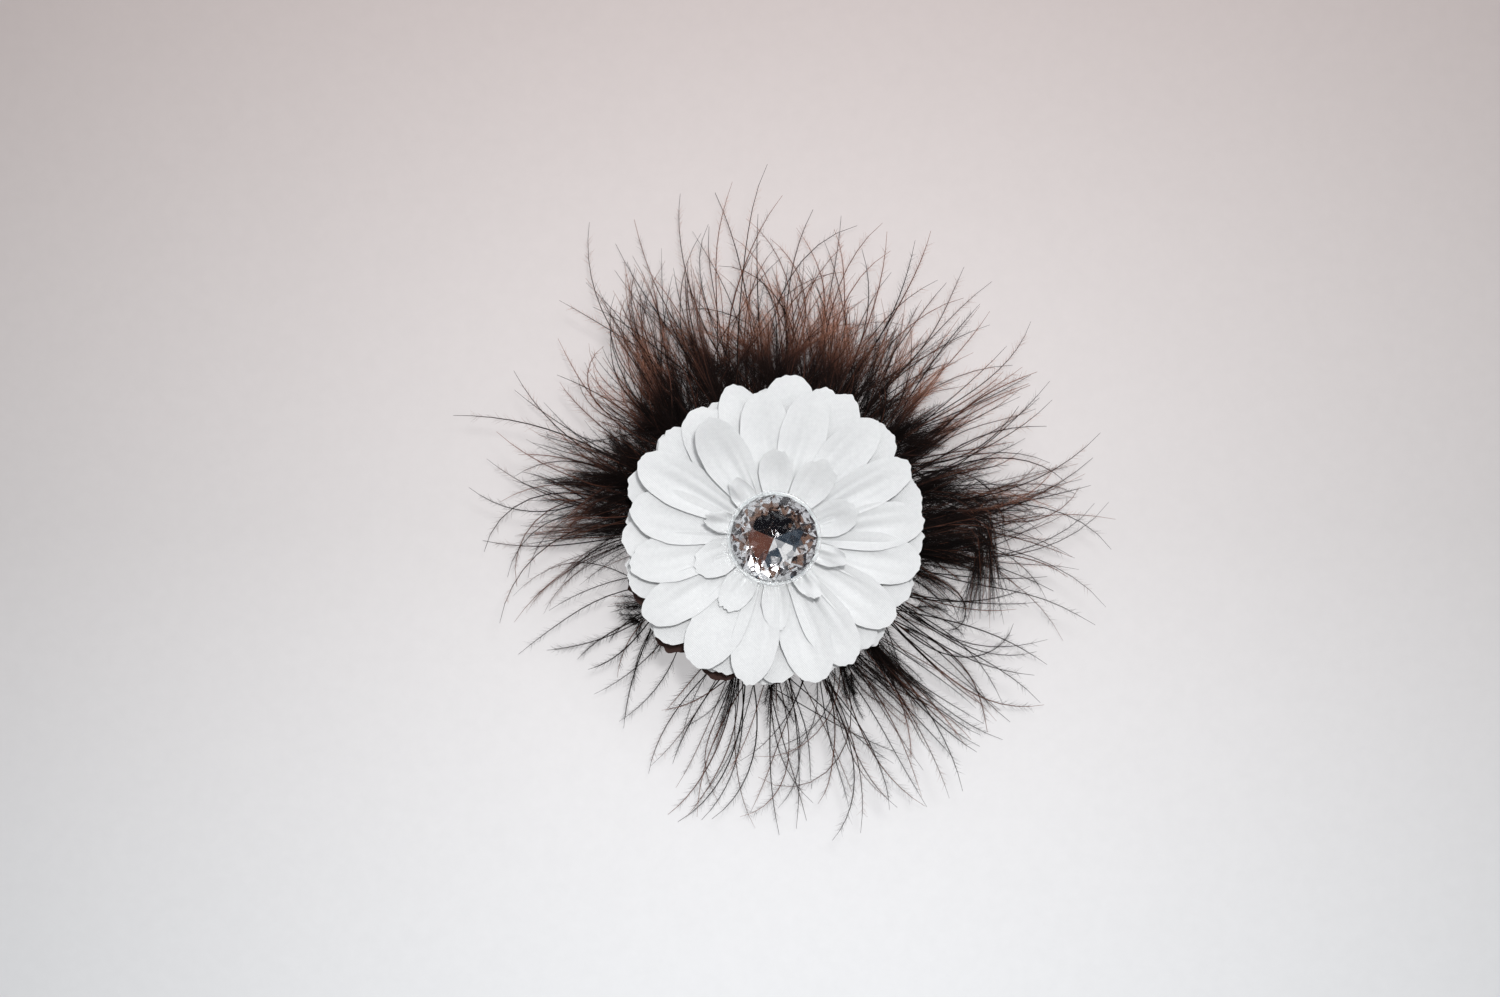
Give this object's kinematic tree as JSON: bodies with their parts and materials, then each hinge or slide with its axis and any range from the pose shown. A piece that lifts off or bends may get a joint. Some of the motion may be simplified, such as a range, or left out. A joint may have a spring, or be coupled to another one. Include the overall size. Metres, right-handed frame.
{
  "type": "flower hair clip",
  "caption": "White fabric daisy with a faceted gem heart and a brown feather puff, glued to a sprung two-lever clip that pinches onto hair.",
  "frame": {"origin": "on the flower's axis, in the plane where the clip's jaws bite", "axes": "+Z out of the flower's face, -X out of the clip's mouth, +Y across the clip, up in the picture"},
  "size_m": [0.1913, 0.1878, 0.0285],
  "materials": {
    "clear_acrylic": "clear polished acrylic, flat facets",
    "mirror_foil": "bright silver foil",
    "clear_glue": "clear hot-melt glue, glossy",
    "pad_glue": "hot-melt glue, cloudy",
    "white_fabric": "stiffened fine woven fabric, matt",
    "brown_fabric": "stiffened fine woven fabric, matt",
    "stud_plastic": "moulded soft plastic",
    "brown_feather": "soft dyed down, fine loose barbs",
    "brown_felt": "pressed felt",
    "brown_ribbon": "ribbed woven ribbon",
    "plated_steel": "nickel-plated pressed steel",
    "spring_steel": "drawn spring wire"
  },
  "bodies": {
    "flower": {"gem": "clear_acrylic", "gem_foil": "mirror_foil", "gem_glue": "clear_glue", "inner_petals": "white_fabric", "top_petals": "white_fabric", "middle_petals": "white_fabric", "lower_petals": "white_fabric", "under_petals": "brown_fabric", "petal_stud": "stud_plastic", "stud_collar": "stud_plastic", "feather_glue": "pad_glue", "felt_backing": "brown_felt", "glue_strip": "pad_glue", "clip_ribbon": "brown_ribbon", "upper_lever": "plated_steel", "hinge_pin": "plated_steel", "torsion_spring": "spring_steel", "low_plume_1": "brown_feather", "low_plume_2": "brown_feather", "low_plume_3": "brown_feather", "low_plume_4": "brown_feather", "low_plume_5": "brown_feather", "low_plume_6": "brown_feather", "low_plume_7": "brown_feather", "low_plume_8": "brown_feather", "low_plume_9": "brown_feather", "low_plume_10": "brown_feather", "low_plume_11": "brown_feather", "low_plume_12": "brown_feather", "low_plume_13": "brown_feather", "low_plume_14": "brown_feather", "high_plume_1": "brown_feather", "high_plume_2": "brown_feather", "high_plume_3": "brown_feather", "high_plume_4": "brown_feather", "high_plume_5": "brown_feather", "high_plume_6": "brown_feather", "high_plume_7": "brown_feather", "high_plume_8": "brown_feather", "high_plume_9": "brown_feather", "high_plume_10": "brown_feather", "high_plume_11": "brown_feather"},
    "lower_jaw": {"lower_lever": "plated_steel"}
  },
  "joints": [
    {"name": "jaw_hinge", "type": "hinge", "parent": "flower", "child": "lower_jaw", "pos_m": [0.008, 0, -0.00135], "axis": [0, -1, 0], "range_deg": [0, 28], "stiffness_Nm_per_rad": 0.06, "springref_deg": -51.57, "deforming": ["torsion_spring"]}
  ]
}
